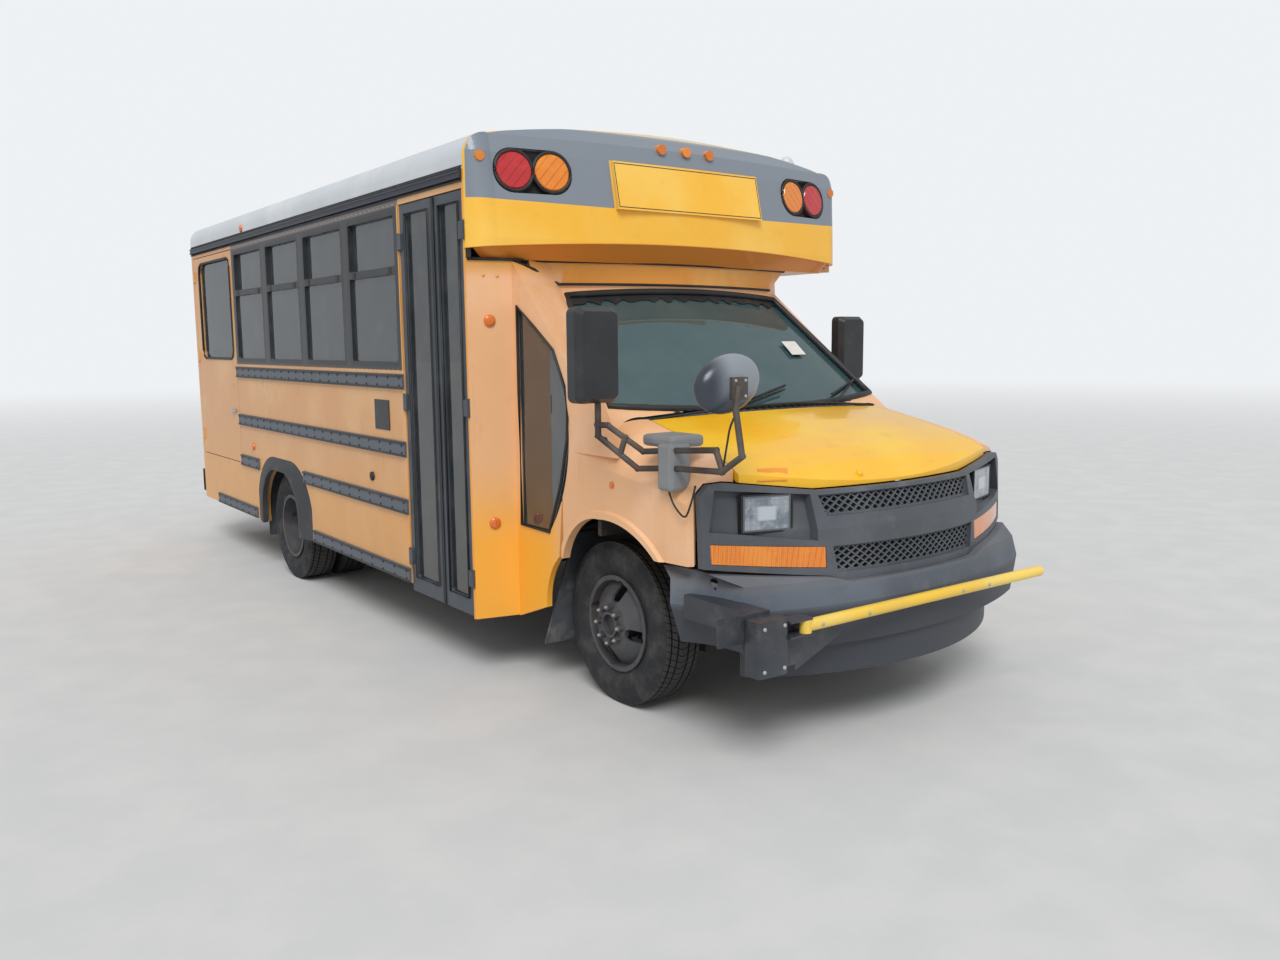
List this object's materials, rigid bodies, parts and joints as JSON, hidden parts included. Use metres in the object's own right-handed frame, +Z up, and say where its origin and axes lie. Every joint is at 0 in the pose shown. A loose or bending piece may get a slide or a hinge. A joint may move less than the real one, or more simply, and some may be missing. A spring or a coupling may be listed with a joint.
{
  "type": "short school bus",
  "caption": "Short school bus on a cutaway van chassis: wide passenger body with door, lift door, rear door, lamps, mirrors, opening hood and steered front wheels.",
  "frame": {"origin": "middle of the bus's outline, on the ground under the tyres", "axes": "forward is -Y, +X is the driver's left side, +Z is up"},
  "size_m": [2.6, 6.956, 2.707],
  "materials": {
    "side_paint": "sun-faded gloss",
    "door_paint": "sun-faded gloss",
    "hood_paint": "gloss",
    "cap_paint": "gloss",
    "roof_paint": "gloss",
    "black_trim": "satin",
    "rail_black": "semi-gloss",
    "grey_plastic": "textured",
    "bumper_plastic": "textured",
    "chassis_black": "satin",
    "cast_steel": "rough",
    "wheel_steel": "worn satin",
    "tyre": "worn",
    "rubber": "matt",
    "glass": "clear",
    "dark_glass": "tinted",
    "lamp_clear": "clear",
    "lamp_red": "clear",
    "lamp_amber": "clear",
    "arm_yellow": "gloss",
    "sign_red": "reflective",
    "floor_black": "ribbed",
    "seat_vinyl": "vinyl",
    "dash_grey": "grained"
  },
  "bodies": {
    "bus": {"amber_lamps": "lamp_amber", "arch_flares": "rubber", "arm_mounts": "rail_black", "bench_seats": "seat_vinyl", "cab_shell": "side_paint", "cab_side_right": "side_paint", "cowl": "grey_plastic", "dashboard": "dash_grey", "driver_seat": "seat_vinyl", "engine_block": "cast_steel", "exhaust": "cast_steel", "fenders": "side_paint", "firewall": "chassis_black", "floor": "floor_black", "frame_crossmembers": "chassis_black", "frame_rails": "chassis_black", "front_bumper": "bumper_plastic", "front_cap": "cap_paint", "front_suspension": "cast_steel", "fuel_tank": "chassis_black", "grille": "grey_plastic", "headlamps": "lamp_clear", "mirror_arms_right": "rail_black", "mirror_heads_right": "black_trim", "mud_flaps": "rubber", "rear_axle": "cast_steel", "rear_bumper": "rail_black", "rear_wall": "side_paint", "red_lamps": "lamp_red", "roof": "roof_paint", "side_rails": "rail_black", "side_wall_left": "side_paint", "side_wall_right": "side_paint", "wheelchair_lift": "chassis_black", "window_frames": "black_trim", "window_glass": "glass"},
    "knuckle_left": {"knuckle_left": "cast_steel"},
    "knuckle_right": {"knuckle_right": "cast_steel"},
    "front_wheel_left": {"front_wheel_left": "wheel_steel", "front_tyre_left": "tyre"},
    "front_wheel_right": {"front_wheel_right": "wheel_steel", "front_tyre_right": "tyre"},
    "rear_wheels_left": {"rear_wheels_left": "wheel_steel", "rear_tyres_left": "tyre"},
    "rear_wheels_right": {"rear_wheels_right": "wheel_steel", "rear_tyres_right": "tyre"},
    "entrance_leaf_front": {"entrance_leaf_front": "black_trim", "entrance_glass_front": "dark_glass"},
    "entrance_leaf_rear": {"entrance_leaf_rear": "black_trim", "entrance_glass_rear": "dark_glass"},
    "lift_door": {"lift_door": "door_paint", "lift_door_glass": "glass"},
    "rear_door": {"rear_door": "door_paint", "rear_door_glass": "glass"},
    "driver_door": {"driver_door": "side_paint", "driver_door_glass": "glass", "mirror_left": "black_trim"},
    "hood": {"hood": "hood_paint"},
    "crossing_arm": {"crossing_arm": "arm_yellow"},
    "stop_arm": {"stop_arm": "sign_red"}
  },
  "joints": [
    {"name": "steer_left", "type": "hinge", "parent": "bus", "child": "knuckle_left", "pos_m": [0.7, -2.3725, 0.372], "axis": [0, 0, 1], "range_deg": [-32, 32]},
    {"name": "steer_right", "type": "hinge", "parent": "bus", "child": "knuckle_right", "pos_m": [-0.7, -2.3725, 0.372], "axis": [0, 0, 1], "range_deg": [-32, 32]},
    {"name": "front_wheel_left_spin", "type": "hinge", "parent": "knuckle_left", "child": "front_wheel_left", "pos_m": [0.78, -2.3725, 0.372], "axis": [1, 0, 0], "continuous": true},
    {"name": "front_wheel_right_spin", "type": "hinge", "parent": "knuckle_right", "child": "front_wheel_right", "pos_m": [-0.78, -2.3725, 0.372], "axis": [1, 0, 0], "continuous": true},
    {"name": "rear_wheels_left_spin", "type": "hinge", "parent": "bus", "child": "rear_wheels_left", "pos_m": [0.952, 1.1585, 0.372], "axis": [1, 0, 0], "continuous": true},
    {"name": "rear_wheels_right_spin", "type": "hinge", "parent": "bus", "child": "rear_wheels_right", "pos_m": [-0.952, 1.1585, 0.372], "axis": [1, 0, 0], "continuous": true},
    {"name": "entrance_front_swing", "type": "hinge", "parent": "bus", "child": "entrance_leaf_front", "pos_m": [-1.2253, -1.6725, 1.33], "axis": [0, 0, 1], "range_deg": [0, 88]},
    {"name": "entrance_rear_swing", "type": "hinge", "parent": "bus", "child": "entrance_leaf_rear", "pos_m": [-1.2253, -0.9395, 1.33], "axis": [0, 0, 1], "range_deg": [-88, 0]},
    {"name": "lift_door_swing", "type": "hinge", "parent": "bus", "child": "lift_door", "pos_m": [-1.2253, 3.2335, 1.55], "axis": [0, 0, -1], "range_deg": [0, 110]},
    {"name": "rear_door_swing", "type": "hinge", "parent": "bus", "child": "rear_door", "pos_m": [-0.44, 3.2968, 1.475], "axis": [0, 0, 1], "range_deg": [0, 105]},
    {"name": "driver_door_swing", "type": "hinge", "parent": "bus", "child": "driver_door", "pos_m": [1.013, -2.1395, 0.985], "axis": [0, 0, -1], "range_deg": [0, 62]},
    {"name": "hood_lift", "type": "hinge", "parent": "bus", "child": "hood", "pos_m": [0, -2.4225, 1.28], "axis": [-1, 0, 0], "range_deg": [0, 45]},
    {"name": "crossing_arm_swing", "type": "hinge", "parent": "bus", "child": "crossing_arm", "pos_m": [-0.77, -3.4545, 0.577], "axis": [0, 0, -1], "range_deg": [0, 90]},
    {"name": "stop_arm_swing", "type": "hinge", "parent": "bus", "child": "stop_arm", "pos_m": [1.275, -0.8325, 1.255], "axis": [0, 0, -1], "range_deg": [0, 90]}
  ],
  "couplings": [
    {"joint": "steer_right", "follows": "steer_left", "ratio": 1},
    {"joint": "entrance_rear_swing", "follows": "entrance_front_swing", "ratio": -1}
  ]
}
